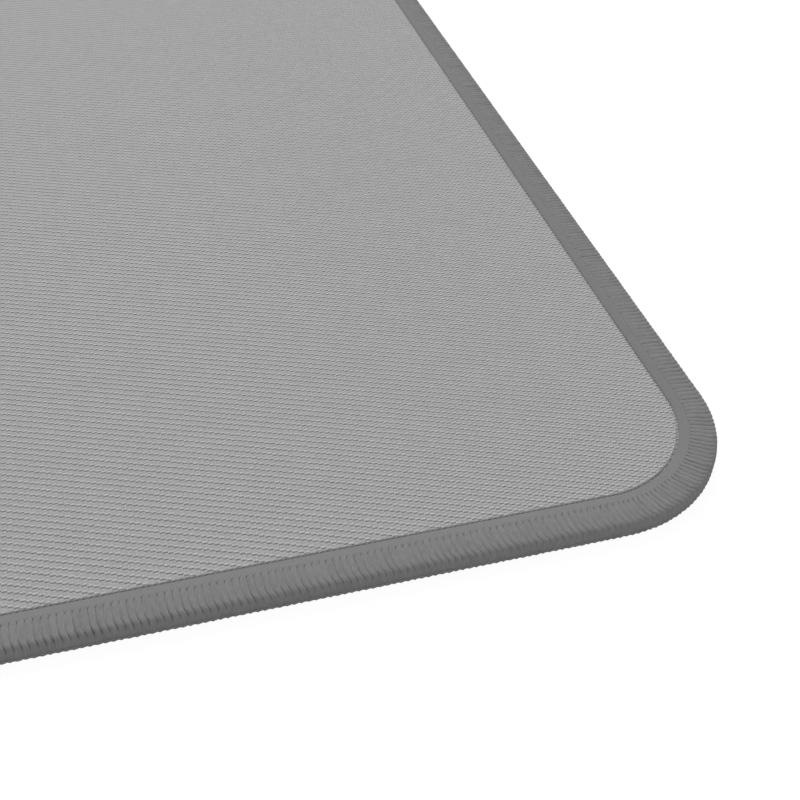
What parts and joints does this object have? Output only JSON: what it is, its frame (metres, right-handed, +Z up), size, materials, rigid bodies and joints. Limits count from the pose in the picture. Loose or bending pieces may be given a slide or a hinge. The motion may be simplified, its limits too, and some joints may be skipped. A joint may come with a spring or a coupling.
{
  "type": "mouse pad",
  "caption": "Flat rectangular cloth mouse pad with rounded corners, a woven top on a foam-rubber base and an overlocked edge.",
  "frame": {"origin": "under the middle of the pad, on the plane that it lies on", "axes": "+X along the longer side, +Y away from the user, +Z up out of the woven face"},
  "size_m": [0.24, 0.2, 0.0023],
  "materials": {
    "woven_cloth": "matt grey polyester twill",
    "hot_melt_film": "milky hot-melt film",
    "foam_rubber": "matt black foam rubber with a fine non-slip grain",
    "edge_tape": "matt dark grey flat tape",
    "stitch_thread": "dark grey textured polyester thread"
  },
  "bodies": {
    "root": {"cloth_top": "woven_cloth", "bonding_film": "hot_melt_film", "rubber_base": "foam_rubber", "edge_tape": "edge_tape", "needle_thread": "stitch_thread", "upper_looper_thread": "stitch_thread", "lower_looper_thread": "stitch_thread"}
  },
  "joints": []
}
